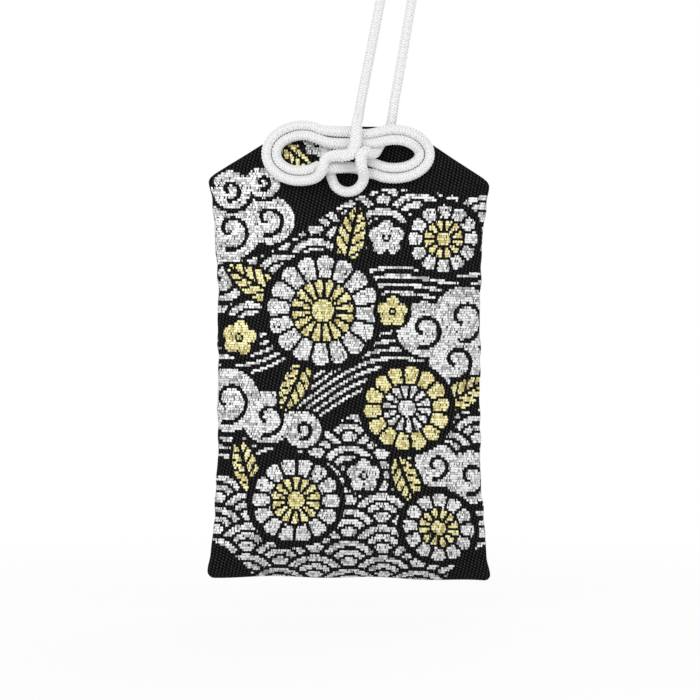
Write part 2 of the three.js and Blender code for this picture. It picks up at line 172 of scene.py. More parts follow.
# Cord and its knot
CORD_CROWN_DIAMETER = 1.88
CORD_STEP = 0.09
CORD_SIDES = 40
BRAID_STRANDS = 6
BRAID_PITCH = 0.5
BRAID_RELIEF = 0.24
BRAID_ROUNDNESS = 0.7
BRAID_DIP = 0.6
BRAID_DIP_ROUNDNESS = 0.6
CURVE_DIVISIONS = 60
FIRST_SIDE_HINT = (0.3, 0.9, 0.1)
KNOT_DROP = 4.5
PRESSED_MIDDLE = (-0.5, 0.2)
PRESSED_REACH = (3.4, 3.7)
PRESSED_WIDER = 0.22
PRESSED_THINNER = 0.12
EAR_STEP_ANGLE = 15
ON_CLOTH = 0.95
OVER_ONE = 2.8
INSIDE_RUN = -1.85
RIGHT_EAR = {
    "x": 8,
    "up": -0.65,
    "from_angle": -125,
    "to_angle": 125,
    "climb": (10, 70),
    "turns": ((4.45, 2.45), (6.27, 4.27)),
}
LEFT_EAR = {
    "x": -8.4,
    "up": -0.5,
    "from_angle": 55,
    "to_angle": (310, 280),
    "descent": (60, 120),
    "climb": (240, 290),
    "turns": ((4.42, 3.17), (6.2, 4.97)),
}
RING = {
    "x": -0.2,
    "up": -4.5,
    "radius": 2.85,
    "from_angle": 20,
    "to_angle": 180,
    "settled_at": 90,
    "start_out": 2.4,
}

# Hanging loop, half of it as distance from its middle line and height above the hinge
LOOP_HALF = (
    (2.95, 0), (2.9, 6), (2.82, 12), (2.76, 18), (2.75, 24),
    (2.85, 30), (3.15, 35), (3.5, 39), (3.45, 42), (2.6, 44.7),
)
HINGE_RISE = 4
HINGE_FRONT = 2.8
LOOP_FOOT_X = 5.05
LOOP_LEAN = 0.182
LOOP_TOP = 46
CORD_SEAM_RISE = 1.6

# Floor, lamps as (name, offset from the pouch's middle in metres, watts), and light from all round
FLOOR_GAP = 6
FLOOR_SIZE = 3.0
FLOOR_GLOW = {"From Min": 0.06, "From Max": 0.22, "To Min": 0.85, "To Max": 1.0}
FLOOR_GREY = 0.93
FLOOR_ROUGHNESS = 0.9
LAMP_SIZE = 0.4
LAMPS = (
    ("key", (-0.24, -0.48, 0.22), 0.9),
    ("fill", (0.42, -0.38, 0.10), 0.4),
    ("back", (0.15, 0.50, 0.30), 0.8),
)
WORLD_LEVEL = 0.7

# Colours from dark to light, and their places on the ramps
TWILL_TONES = ((0.0008, 0.0008, 0.001), (0.0045, 0.0042, 0.0048), (0.032, 0.031, 0.032))
SILVER_TONES = ((0.38, 0.38, 0.383), (0.8, 0.8, 0.8), (0.85, 0.85, 0.84))
GOLD_TONES = ((0.53, 0.44, 0.17), (0.8, 0.74, 0.36), (0.88, 0.84, 0.53))
# The braid's and the sewing thread's darker tones are painted shade for the valleys of their relief; the
# lightest is the yarn's own colour
BRAID_TONES_WITH_PAINTED_SHADE = ((0.38, 0.38, 0.39), (0.85, 0.85, 0.85), (0.95, 0.95, 0.945))
SEWING_TONES_WITH_PAINTED_SHADE = ((0.006, 0.006, 0.007), (0.016, 0.016, 0.018), (0.03, 0.03, 0.033))
LINING_TONES = ((0.012, 0.012, 0.014), (0.03, 0.03, 0.035), (0.05, 0.05, 0.056))
CARD_TONES = ((0.4, 0.34, 0.24), (0.56, 0.48, 0.35))
PAPER_TONES = ((0.82, 0.8, 0.73), (0.92, 0.9, 0.85))
WOOD_TONES = ((0.55, 0.38, 0.18), (0.76, 0.58, 0.33))
TWILL_STOPS = (0.45, 0.72, 1.0)
METAL_STOPS = (0.04, 0.2, 0.46)
YARN_STOPS = (0.0, 0.4, 1.0)
LINING_STOPS = (0.0, 0.5, 1.0)
FIBRE_STOPS = (0.3, 0.7)
METAL_ROUGHNESS = {"To Min": 0.45, "To Max": 0.62}

# Fibre of the inner pieces, with its depth in metres
CARD_FIBRE = {"scale": 900, "stretch": (1, 1, 1), "roughness": 0.9, "depth": 0.00005}
PAPER_FIBRE = {"scale": 500, "stretch": (1, 1, 3), "roughness": 0.85, "depth": 0.00004}
WOOD_FIBRE = {"scale": 700, "stretch": (1, 1, 0.06), "roughness": 0.6, "depth": 0.00004}


def to_frame(points):
    return TOP_EDGE_MIDDLE + np.asarray(points, float) * MM


def clamp01(value):
    return np.clip(value, 0.0, 1.0)


def lerp(a, b, t):
    return a + (b - a) * t


def smoothstep(value, low, high):
    t = clamp01((value - low) / (high - low))
    return t * t * (3 - 2 * t)


def smooth_min(a, b, width):
    t = clamp01(0.5 + 0.5 * (b - a) / width)
    return lerp(b, a, t) - width * t * (1 - t)


# A mesh object from points in the frame and faces, smooth shaded
def mesh_object(name, points, faces, material):
    mesh = bpy.data.meshes.new(name)
    mesh.from_pydata([tuple(p) for p in points], [], faces)
    mesh.validate()
    mesh.polygons.foreach_set("use_smooth", [True] * len(mesh.polygons))
    mesh.materials.append(material)
    mesh.update()
    piece = bpy.data.objects.new(name, mesh)
    bpy.context.scene.collection.objects.link(piece)
    return piece


# A value per vertex that a material can read by name
def add_vertex_value(piece, name, values):
    layer = piece.data.attributes.new(name, "FLOAT", "POINT")
    layer.data.foreach_set("value", np.asarray(values, np.float32))


# The weave's UV layer, from one (u, v) per vertex
def add_uv(piece, vertex_uv):
    layer = piece.data.uv_layers.new(name=WEAVE_UV)
    loop_vertex = np.empty(len(piece.data.loops), np.int32)
    piece.data.loops.foreach_get("vertex_index", loop_vertex)
    layer.data.foreach_set("uv", np.asarray(vertex_uv, np.float32)[loop_vertex].ravel())


# A material with its nodes, links and shader at hand
def new_material(name):
    material = bpy.data.materials.new(name)
    material.use_nodes = True
    nodes = material.node_tree.nodes
    return material, nodes, material.node_tree.links, nodes["Principled BSDF"]


def set_inputs(node, values):
    for name, value in values.items():
        node.inputs[name].default_value = value


# A new node of a kind, with fixed values on some of its inputs
def add_node(nodes, kind, values):
    node = nodes.new("ShaderNode" + kind)
    set_inputs(node, values)
    return node


# Two values put together by a maths node
def combine(nodes, links, operation, first, second):
    node = nodes.new("ShaderNodeMath")
    node.operation = operation
    links.new(first, node.inputs[0])
    links.new(second, node.inputs[1])
    return node.outputs[0]


# Camera, light and floor
def make_camera():
    data = bpy.data.cameras.new("camera")
    data.lens = LENS
    data.sensor_width = SENSOR
    data.clip_start = CLIP_START
    camera = bpy.data.objects.new("camera", data)
    distance = FRAME_WIDTH * LENS / SENSOR
    camera.location = to_frame((FRAME_MIDDLE_X, -distance, -FRAME_MIDDLE_DROP))
    camera.rotation_euler = (math.pi / 2, 0, 0)
    bpy.context.scene.collection.objects.link(camera)
    bpy.context.scene.camera = camera


# The world is white where it is seen and a plain level of light where it is not
def make_world(level):
    world = bpy.data.worlds.new("world")
    bpy.context.scene.world = world
    world.use_nodes = True
    nodes = world.node_tree.nodes
    links = world.node_tree.links
    background = nodes["Background"]
    path = nodes.new("ShaderNodeLightPath").outputs
    seen = combine(nodes, links, "MAXIMUM", path["Is Camera Ray"], path["Is Glossy Ray"])
    seen = combine(nodes, links, "MAXIMUM", seen, path["Is Transmission Ray"])
    strength = add_node(nodes, "MapRange", {"To Min": level, "To Max": 1.0})
    set_inputs(background, {"Color": (1, 1, 1, 1)})
    links.new(seen, strength.inputs["Value"])
    links.new(strength.outputs["Result"], background.inputs["Strength"])


def make_softbox(name, place, target, size, watts):
    data = bpy.data.lights.new(name, "AREA")
    data.shape = "SQUARE"
    data.size = size
    data.energy = watts
    lamp = bpy.data.objects.new(name, data)
    lamp.location = place
    direction = Vector(target) - Vector(place)
    lamp.rotation_euler = direction.to_track_quat("-Z", "Y").to_euler()
    bpy.context.scene.collection.objects.link(lamp)


# A floor that glows white to the camera, less so near the object, where it still takes some shadow
def make_floor():
    material, nodes, links, shader = new_material("floor")
    grey = (FLOOR_GREY, FLOOR_GREY, FLOOR_GREY, 1)
    set_inputs(shader, {"Base Color": grey, "Roughness": FLOOR_ROUGHNESS})
    glow = add_node(nodes, "Emission", {"Strength": 1.0})
    path = nodes.new("ShaderNodeLightPath")
    place = nodes.new("ShaderNodeTexCoord")
    reach = nodes.new("ShaderNodeVectorMath")
    reach.operation = "LENGTH"
    fade = add_node(nodes, "MapRange", FLOOR_GLOW)
    fade.interpolation_type = "SMOOTHSTEP"
    share = combine(nodes, links, "MULTIPLY", path.outputs["Is Camera Ray"], fade.outputs["Result"])
    mix = nodes.new("ShaderNodeMixShader")
    links.new(place.outputs["Object"], reach.inputs[0])
    links.new(reach.outputs["Value"], fade.inputs["Value"])
    links.new(share, mix.inputs["Fac"])
    links.new(shader.outputs[0], mix.inputs[1])
    links.new(glow.outputs[0], mix.inputs[2])
    links.new(mix.outputs[0], nodes["Material Output"].inputs["Surface"])
    half = FLOOR_SIZE / 2
    corners = [(sx * half, sy * half, 0) for sx, sy in ((-1, -1), (1, -1), (1, 1), (-1, 1))]
    floor = mesh_object("floor", corners, [(0, 1, 2, 3)], material)
    floor.location = to_frame((0, 0, -POUCH_HEIGHT - FLOOR_GAP))


# Half width of the pouch at a height, with the shoulders and the bottom corners a little rounded
def half_width(z):
    gable = lerp(MOUTH_WIDTH, SHOULDER_WIDTH, -z / SHOULDER_DROP) / 2
    towards_shoulder = clamp01((z + WAIST_TOP_DROP) / (WAIST_TOP_DROP - SHOULDER_DROP))
    towards_foot = clamp01((-z - WAIST_FOOT_DROP) / (POUCH_HEIGHT - WAIST_FOOT_DROP))
    shoulder_flare = (SHOULDER_WIDTH - WAIST_WIDTH) * towards_shoulder ** 2
    foot_flare = (FOOT_WIDTH - WAIST_WIDTH) * towards_foot ** 2
    side = (WAIST_WIDTH + shoulder_flare + foot_flare) / 2
    below_round = CORNER_ROUND - np.clip(z + POUCH_HEIGHT, 0, CORNER_ROUND)
    corner = CORNER_ROUND - np.sqrt(CORNER_ROUND ** 2 - below_round ** 2)
    return smooth_min(gable, side, SHOULDER_ROUND) - corner


# Half depth on the centreline
def half_depth(z, inset=0.0):
    rise = clamp01((z + POUCH_HEIGHT - inset) / FOOT_ROUND)
    foot = np.sqrt(1 - (1 - rise) ** 2)
    opening = np.sin(math.pi / 2 * clamp01(-z / MOUTH_TAPER))
    return (lerp(MOUTH_DEPTH, CROWN_DEPTH, opening) / 2 - inset) * foot


# Slow unevenness of hand-filled cloth, the same each run
def soft_dents(x, z, side):
    phase = DENT_PHASE * side

    def wave(turns, shift):
        return np.sin(turns[0] * x + turns[1] * z + shift)

    broad = wave(DENT_BROAD_WAVES[0], phase) * wave(DENT_BROAD_WAVES[1], 2 * phase)
    fine = wave(DENT_FINE_WAVES[0], 3 * phase) * wave(DENT_FINE_WAVES[1], 0)
    return DENT_BROAD * broad + DENT_FINE * fine


# Gathers that run out from the tied mouth
def mouth_gathers(x, z):
    from_knot = np.hypot(x / GATHER_STRETCH, z + KNOT_DROP)
    turn = np.arctan2(z + KNOT_DROP, x)
    fade = np.exp(-(from_knot / GATHER_REACH) ** 2)
    start = smoothstep(from_knot, *GATHER_START)
    return GATHER_HEIGHT * np.cos(GATHERS * turn + GATHER_TURN) * fade * start


def pucker_wave(reach, z, side, height, turn, phase, slant):
    return height * np.sin(turn * z + phase * side + slant * reach)


# Small pulls of the cloth towards the side seams
def side_puckers(reach, z, side):
    band = smoothstep(reach, *PUCKER_BAND_IN) * (1 - smoothstep(reach, *PUCKER_BAND_OUT))
    broad = pucker_wave(reach, z, side, **PUCKER_BROAD)
    fine = pucker_wave(reach, z, side, **PUCKER_FINE)
    return (broad + fine) * band


# A point of the pouch's skin: side is -1 for the front and 1 for the back, across runs from -1 to 1
def skin_point(side, across, z, inset=0.0, side_inset=0.0):
    side, across, z = np.broadcast_arrays(side, across, np.asarray(z, float))
    reach = np.abs(across)
    bow = np.maximum(1 - reach ** SIDE_SQUARENESS, 0) ** (1 / SIDE_SQUARENESS)
    groove = SEAM_GROOVE * np.exp(-(1 - reach) / SEAM_GROOVE_WIDTH)
    pull = SEAM_STITCH_PULL * np.sin(2 * math.pi * z / STITCH_PITCH)
    pull = pull + SEAM_SLOW_PULL * np.sin(SEAM_SLOW_TURN * z + across)
    pull = pull + SEAM_QUICK_PULL * np.sin(SEAM_QUICK_TURN * z)
    width = half_width(z) + SIDE_FULLNESS - side_inset - groove + pull * reach ** SEAM_PULL_FADE
    x = across * width
    depth = np.minimum(EDGE_GAP + (half_depth(z, inset) - EDGE_GAP) * bow, FLAT_DEPTH / 2 - inset)
    fullness = bow * clamp01(depth / FULL_FROM_DEPTH)
    depth = depth + soft_dents(x, z, side) * fullness + mouth_gathers(x, z) * fullness * (side < 0)
    depth = depth + side_puckers(reach, z, side) * clamp01(depth / FULL_FROM_DEPTH)
    near_foot = (1 - clamp01((z + POUCH_HEIGHT) / FOOT_SAG_HEIGHT)) ** 2
    sag = FOOT_SAG * (1 - across ** 2) + FOOT_WAVE * np.sin(FOOT_WAVE_TURN * x)
    return np.stack([x, side * depth, z + sag * near_foot - RIGHT_DROOP * x], axis=-1)


# Rows of a folded strip from the front's top edge round the bottom fold to the back's top edge
def strip_rows(foot, top, rows):
    rise = (np.arange(rows + 1) / rows) ** ROW_CROWDING
    heights = lerp(foot, top, rise)
    sides = np.concatenate([-np.ones(rows + 1), np.ones(rows)])
    return sides, np.concatenate([heights[::-1], heights[1:]])


# Distance along one row of the cloth from its middle column
def arc_from_middle(line):
    steps = np.linalg.norm(np.diff(line, axis=0), axis=1)
    run = np.concatenate([[0], np.cumsum(steps)])
    return run - run[CLOTH_COLUMNS]


# A sheet folded once at its foot, closed all round, with rounded lips at its mouth.
# The skins outside and inside are given as (inset of the panels, inset of the sides).
def folded_sheet(name, top, outside, inside, lip, material):
    columns = 2 * CLOTH_COLUMNS + 1
    across = np.sin(math.pi / 2 * np.linspace(-1, 1, columns))
    sides, heights = strip_rows(-POUCH_HEIGHT + outside[0], top, CLOTH_ROWS)
    inner_heights = strip_rows(-POUCH_HEIGHT + inside[0], top, CLOTH_ROWS)[1]

    def row(side, z, share):
        inset, side_inset = (lerp(a, b, share) for a, b in zip(outside, inside))
        return skin_point(side, across, z, inset, side_inset)

    outer = [row(s, min(z, top - lip), 0) for s, z in zip(sides, heights)]
    inner = [row(s, min(z, top - lip), 1) for s, z in zip(sides, inner_heights)]
    fold = CLOTH_ROWS
    outer[fold][:, 1] = 0
    inner[fold][:, 1] = 0
    back_rim = [row(1, top - drop * lip, share) for share, drop in RIM_STEPS]
    front_rim = [row(-1, top - drop * lip, share) for share, drop in reversed(RIM_STEPS)]
    ring = outer + back_rim + inner[::-1] + front_rim
    total = len(ring)
    points = np.concatenate(ring)
    faces = []
    for i in range(total):
        after = (i + 1) % total
        for k in range(columns - 1):
            here = i * columns + k
            there = after * columns + k
            faces.append((here, there, there + 1, here + 1))
    count = len(outer)
    rim = len(RIM_STEPS)
    inner_row = [count + rim + (count - 1 - i) for i in range(count)]
    edges = [(i, i + 1, inner_row[i + 1], inner_row[i]) for i in range(count - 1)]
    edges.append([count - 1 + j for j in range(rim + 2)])
    edges.append([total - rim - 1 + j for j in range(rim + 1)] + [0])
    faces.extend(tuple(r * columns for r in edge) for edge in edges)
    faces.extend(tuple((r + 1) * columns - 1 for r in reversed(edge)) for edge in edges)
    flat_u = np.concatenate([arc_from_middle(line) for line in ring])
    step = np.linalg.norm(np.diff(np.array([r[CLOTH_COLUMNS] for r in ring]), axis=0), axis=1)
    flat_v = np.repeat(np.concatenate([[0], np.cumsum(step)]), columns)
    piece = mesh_object(name, to_frame(points), faces, material)
    add_uv(piece, np.stack([flat_u, flat_v], axis=1))
    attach(piece, "charm")
    return piece


def make_pouch(material):
    piece = folded_sheet("pouch_cloth", 0, (0, 0), (CLOTH, SEAM_TURN_IN), CLOTH_LIP, material)
    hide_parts("brocade_cloth")
    return piece


def make_lining(material):
    outside = (LINING_INSET, LINING_SIDE_INSET)
    inside = (LINING_INSET + LINING, LINING_SIDE_INSET + LINING)
    piece = folded_sheet("lining_cloth", -LINING_TOP_DROP, outside, inside, LINING / 2, material)
    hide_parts("lining")


# The sewing inside one side: a two-ply thread that swings across the seam line
def make_seam_thread(side, side_name, material):
    foot = -POUCH_HEIGHT + LINING_INSET + THREAD_END_MARGIN
    top = -SHOULDER_DROP - THREAD_END_MARGIN
    z = np.linspace(foot, top, int((top - foot) / THREAD_STEP))
    x = side * (half_width(z) - SEAM_TURN_IN - THREAD_SEAT)
    y = STITCH_SWING * np.sin(2 * math.pi * (z - foot) / STITCH_PITCH)
    path = np.stack([x, y, z], axis=1)
    angles = 2 * math.pi * np.arange(THREAD_SIDES) / THREAD_SIDES
    relief = np.abs(np.cos(angles[None, :] - math.pi * z[:, None] / THREAD_TWIST))
    radius = THREAD_DIAMETER / 2 * lerp(THREAD_VALLEY, 1.0, relief)
    spokes = np.stack([np.cos(angles), np.sin(angles), np.zeros(THREAD_SIDES)], axis=1)
    rings = path[:, None] + spokes[None] * radius[..., None]
    piece = make_tube("seam_sewing_" + side_name, rings, relief, material)
    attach(piece, "charm")
    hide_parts("side_seam_thread_" + side_name)


# Woven figure: its threads and the sizes of its motifs
GROUND, SILVER, GOLD = 0, 1, 2
SWELL = 3
BARE_CORNER = 15.5
FAN_RADIUS = 5.6
FAN_ROWS_TRIED = 3
FAN_RIM = 0.87
FAN_LINES = ((0.58, 0.68), (0.3, 0.4))
PETAL_GAP = 0.27
INNER_PETALS = 0.56
FLOWER_BUTTON = 0.2
BUTTON_GAP = 0.4
PETAL_RING_GAP = 0.35
FLOWER_HALO = 1.0
FLOWER_TURN = 0.1
LEAF_POINT = 0.8
LEAF_RIB = 0.3
LEAF_VEINS = 6
VEIN_SLOPE = 2.2
VEIN_SHARE = 0.26
LEAF_HALO = 0.6
LEAF_HALO_ENDS = 0.06
SPIRAL_INSET = 1.4
SPIRAL_CLOSING = 0.8
SPIRAL_START = 0.3
SPIRAL_WIDTH = 0.36
CLOUD_HALO = 0.7
BLOSSOM_PETALS = 5
BLOSSOM_PETAL_PLACE = 0.56
BLOSSOM_PETAL_SIZE = 0.4
BLOSSOM_HOLLOW = 0.24
BLOSSOM_BUTTON = 0.13
BLOSSOM_HALO = 0.5

# Layouts in millimetres across from the middle and up from the top edge, so down is negative.
# Streams are (level, lines), clouds are lobes of (across, up, radius),
# leaves are (base, angle, length, width), blossoms are (centre, radius, turn, thread)
# and flowers are (centre, radius, petals, petal thread, heart thread), with angles in radians.
FRONT_LAYOUT = {
    "water": {"slope": 0.3, "start": 6, "length": 40},
    "upper_fans": (-26, -16),
    "lower_fans": -54,
    "corner_rise": 3,
    "streams": ((-33, 5), (-46, 7)),
    "stream_lines": {"spacing": 1.5, "breadth": 0.62},
    "clouds": (
        ((-20, -19, 5), (-13.5, -17, 4.4), (-22, -27, 4.6)),
        ((-19.5, -11.8, 3.4), (-14, -10.4, 2.8)),
        ((13, -36, 4.8), (20, -34, 5.6), (18.5, -41.5, 4.8)),
        ((-21, -49, 5.6), (-14, -52, 4.6), (-8, -54, 3.2)),
        ((21, -62, 4.6), (15, -60, 3.8)),
    ),
    "leaves": (
        ((-10, -32), 2.6, 13, 5),
        ((-1, -26), 1.35, 12, 4.6),
        ((15, -50), 0.5, 11, 4.6),
        ((-2, -66), 2.9, 13, 4.6),
        ((-7, -41), -2.0, 11, 4.4),
        ((8, -58), -1.2, 10, 4.2),
        ((-16, -66), 1.9, 11, 4.2),
        ((-11.6, -2.6), -0.75, 7.5, 3.2),
    ),
    "flowers": (
        ((-4.5, -33), 9.6, 16, SILVER, GOLD),
        ((10, -50), 7.4, 14, GOLD, SILVER),
        ((-9, -66.5), 7.4, 14, SILVER, GOLD),
        ((16, -20), 6, 12, SILVER, GOLD),
        ((15, -71), 6, 12, SILVER, GOLD),
    ),
    "blossoms": (
        ((-5.2, -3.4), 2.4, -5.2, SILVER),
        ((6.3, -20), 3.2, 6.3, SILVER),
        ((-19, -38), 3.2, -19, GOLD),
        ((7.5, -33), 2.8, 7.5, GOLD),
        ((2.5, -62), 3, 2.5, SILVER),
    ),
}
BACK_LAYOUT = {
    "water": {"slope": -0.25, "start": 0, "length": 44},
    "upper_fans": (-34, -14),
    "lower_fans": -58,
    "corner_rise": 0,
    "streams": ((-41, 5), (-52, 4)),
    "stream_lines": {"spacing": 1.75, "breadth": 0.95},
    "clouds": (
        ((16, -24, 5.2), (22, -28, 4.8), (9.5, -22, 4)),
        ((-15, -45, 5.4), (-21, -49, 5), (-9, -47, 4)),
    ),
    "leaves": (
        ((-6, -30), 2.5, 12, 4.8),
        ((8, -52), 0.7, 12, 4.6),
        ((4, -56), -2.4, 12, 4.4),
        ((-3, -24), 0.5, 12, 4.4),
    ),
    "flowers": (
        ((-8, -26), 8.6, 16, SILVER, GOLD),
        ((8, -50), 9.2, 16, GOLD, GOLD),
        ((-9, -66), 7.2, 14, SILVER, GOLD),
    ),
    "blossoms": (
        ((14, -37), 3, 0.4, GOLD),
        ((16, -68), 3, 0.1, GOLD),
    ),
}


# Overlapping wave fans of concentric arcs
def wave_fans(u, v, radius):
    found = np.zeros(u.shape, bool)
    arc = np.zeros(u.shape)
    row_of = -v / (radius / 2)
    base = np.floor(row_of)
    for step in range(FAN_ROWS_TRIED, -FAN_ROWS_TRIED - 1, -1):
        row = base + step
        centre_v = -row * radius / 2
        shift = radius * np.mod(row, 2)
        centre_u = np.round((u - shift) / (2 * radius)) * 2 * radius + shift
        distance = np.hypot(u - centre_u, v - centre_v) / radius
        inside = (distance < 1) & ~found
        arc = np.where(inside, distance, arc)
        found |= inside
    dark = arc > FAN_RIM
    for low, high in FAN_LINES:
        dark |= (arc > low) & (arc < high)
    return found & ~dark


# A many-petalled flower with an inner ring of petals and a button
def chrysanthemum(u, v, centre, radius, petals, turn):
    du = u - centre[0]
    dv = v - centre[1]
    r = np.hypot(du, dv)
    angle = np.arctan2(dv, du)

    def petal_ring(reach, shift):
        step = 2 * math.pi / petals
        rel = np.mod(angle - turn - shift + step / 2, step) - step / 2
        half = reach * math.sin(step / 2)
        tip = reach - half
        lobe = np.hypot(r * np.cos(rel) - tip, r * np.sin(rel)) < half
        gap = r * np.sin(step / 2 - np.abs(rel)) > PETAL_GAP
        return ((r < tip) | lobe) & gap

    outer = petal_ring(radius, 0)
    inner_reach = INNER_PETALS * radius
    inner = petal_ring(inner_reach, math.pi / petals)
    button_reach = FLOWER_BUTTON * radius
    heart = np.where(r < button_reach + BUTTON_GAP, r < button_reach, inner & (r < inner_reach))
    petals_only = outer & (r > inner_reach + PETAL_RING_GAP)
    halo = r < radius + FLOWER_HALO
    return petals_only, heart, halo


# A pointed leaf with a rib and slanting veins left open
def leaf(u, v, base, angle, length, width):
    du = u - base[0]
    dv = v - base[1]
    along = (du * math.cos(angle) + dv * math.sin(angle)) / length
    off = -du * math.sin(angle) + dv * math.cos(angle)
    inside_length = (along > 0) & (along < 1)
    profile = width / 2 * np.sin(math.pi * clamp01(along)) ** LEAF_POINT
    blade = inside_length & (np.abs(off) < profile)
    rib = np.abs(off) < LEAF_RIB
    vein = np.mod(along * LEAF_VEINS - np.abs(off) / width * VEIN_SLOPE, 1) < VEIN_SHARE
    halo_length = (along > -LEAF_HALO_ENDS) & (along < 1 + LEAF_HALO_ENDS)
    halo = halo_length & (np.abs(off) < profile + LEAF_HALO)
    return blade & ~rib & ~vein, halo


# A bank of cloud made of round lobes with a swirl left open in each
def cloud(u, v, lobes):
    edge = np.full(u.shape, np.inf)
    swirl = np.zeros(u.shape, bool)
    for centre_u, centre_v, radius in lobes:
        r = np.hypot(u - centre_u, v - centre_v)
        turn = np.mod(np.arctan2(v - centre_v, u - centre_u) / (2 * math.pi) + SPIRAL_START, 1)
        nearest = r - radius < edge
        edge = np.minimum(edge, r - radius)
        spiral_radius = (radius - SPIRAL_INSET) * (1 - SPIRAL_CLOSING * turn)
        spiral = np.abs(r - spiral_radius) < SPIRAL_WIDTH
        swirl = np.where(nearest, spiral, swirl)
    return (edge < 0) & ~swirl, edge < CLOUD_HALO


# Parallel lines of flowing water about one level of a waving height
def stream(height, level, lines, spacing, breadth):
    off = height - level
    index = np.round(off / spacing)
    inside = np.abs(index) <= (lines - 1) / 2
    return inside & (np.abs(off - index * spacing) < breadth / 2)


# A small flower of round petals about an open ring and a button
def plum_blossom(u, v, centre, radius, turn):
    petals = np.zeros(u.shape, bool)
    for i in range(BLOSSOM_PETALS):
        angle = turn + 2 * math.pi * i / BLOSSOM_PETALS + math.pi / 2
        petal_u = centre[0] + BLOSSOM_PETAL_PLACE * radius * math.cos(angle)
        petal_v = centre[1] + BLOSSOM_PETAL_PLACE * radius * math.sin(angle)
        petals |= np.hypot(u - petal_u, v - petal_v) < BLOSSOM_PETAL_SIZE * radius
    r = np.hypot(u - centre[0], v - centre[1])
    petals &= r > BLOSSOM_HOLLOW * radius
    return petals | (r < BLOSSOM_BUTTON * radius), r < radius + BLOSSOM_HALO


def paint_flower(cloth, flower, petal_thread, heart_thread):
    petals, heart, halo = flower
    cloth[halo] = GROUND
    cloth[petals] = petal_thread
    cloth[heart] = heart_thread


def paint_motif(cloth, motif, thread):
    fill, halo = motif
    cloth[halo] = GROUND
    cloth[fill] = thread


# Height on the flat cloth measured from slanting water that swells and falls across it
def water_level(u, v, slope, start, length):
    return v - slope * u - SWELL * np.sin(2 * math.pi * (u + start) / length)


# The figure of one face: wave fans above and below streams, then clouds, leaves and flowers over them
def woven_figure(layout, u, v):
    cloth = np.full(u.shape, GROUND)
    level = water_level(u, v, **layout["water"])
    fans = wave_fans(u, v, FAN_RADIUS)
    low, high = layout["upper_fans"]
    cloth[(level > low) & (level < high) & fans] = SILVER
    past_corner = np.maximum(np.abs(u) - BARE_CORNER, 0)
    bare_foot = -FACE_LENGTH + layout["corner_rise"] * np.sqrt(past_corner)
    cloth[(level < layout["lower_fans"]) & (v > bare_foot) & fans] = SILVER
    for middle, lines in layout["streams"]:
        cloth[stream(level, middle, lines, **layout["stream_lines"])] = SILVER
    for lobes in layout["clouds"]:
        paint_motif(cloth, cloud(u, v, lobes), SILVER)
    for base, angle, length, width in layout["leaves"]:
        paint_motif(cloth, leaf(u, v, base, angle, length, width), GOLD)
    for centre, radius, petals, petal_thread, heart_thread in layout["flowers"]:
        flower = chrysanthemum(u, v, centre, radius, petals, FLOWER_TURN * centre[0])
        paint_flower(cloth, flower, petal_thread, heart_thread)
    for centre, radius, turn, thread in layout["blossoms"]:
        paint_motif(cloth, plum_blossom(u, v, centre, radius, turn), thread)
    return cloth


# Places on the pouch by distance along the flat cloth: heights by length, and widths by arc
FINE_HEIGHTS = -POUCH_HEIGHT + POUCH_HEIGHT * np.linspace(0, 1, LENGTH_STEPS) ** 2
FINE_LENGTHS = np.concatenate([
    [0],
    np.cumsum(np.hypot(np.diff(FINE_HEIGHTS), np.diff(half_depth(FINE_HEIGHTS)))),
])
FACE_LENGTH = FINE_LENGTHS[-1]
FINE_ACROSS = np.sin(math.pi / 2 * np.linspace(0, 1, ARC_STEPS))
MID_SECTION = skin_point(-1, FINE_ACROSS, -POUCH_HEIGHT / 2)
FINE_ARCS = np.concatenate([[0], np.cumsum(np.linalg.norm(np.diff(MID_SECTION, axis=0), axis=1))])


# Share of the half width, and height, of a place on the flat cloth.
# Above the shoulders the gable cuts the cloth's corners off.
def across_and_height(u, drop):
    z = np.interp(FACE_LENGTH - drop, FINE_LENGTHS, FINE_HEIGHTS)
    arc = np.abs(u) / (FLAT_WIDTH / 2) * FINE_ARCS[-1]
    across = np.sign(u) * np.interp(arc, FINE_ARCS, FINE_ACROSS)
    uncut = half_width(np.minimum(z, -SHOULDER_DROP - SHOULDER_ROUND))
    return across * uncut / half_width(z), z


def place_on_face(side, u, drop):
    across, z = across_and_height(u, drop)
    return skin_point(side, np.clip(across, -1, 1), z)


# The face's normal from small steps along the cloth
def face_normal(side, u, drop):
    step = NORMAL_STEP
    along_u = place_on_face(side, u + step, drop) - place_on_face(side, u - step, drop)
    along_drop = place_on_face(side, u, drop + step) - place_on_face(side, u, drop - step)
    normal = np.cross(along_u, along_drop) * side
    return normal / np.maximum(np.linalg.norm(normal, axis=-1, keepdims=True), 1e-9)


# Runs of one thread on a pick, broken where a warp end ties them down.
# A share of the shortest is skipped, so that the black warp shows there as a fleck.
def float_runs(figure, thread, rng):
    picks, ends = figure.shape
    pick_index, end_index = np.mgrid[0:picks, 0:ends]
    tied = np.mod(end_index + TIE_STEP * pick_index, TIE_REPEAT) == 0
    tied ^= rng.uniform(0, 1, figure.shape) < STRAY_TIES
    shown = np.pad(figure == thread, ((0, 0), (1, 1)))
    here = shown[:, 1:-1]
    tied_after = np.pad(tied[:, 1:], ((0, 0), (0, 1)))
    starts = np.argwhere(here & (tied | ~shown[:, :-2]))
    stops = np.argwhere(here & (tied_after | ~shown[:, 2:]))
    runs = np.stack([starts[:, 0], starts[:, 1], stops[:, 1] + 1])
    short = runs[2] - runs[1] <= SKIPPED_ENDS
    skipped = short & (rng.uniform(0, 1, len(short)) < SKIPPED_SHARE)
    return runs[:, ~skipped]


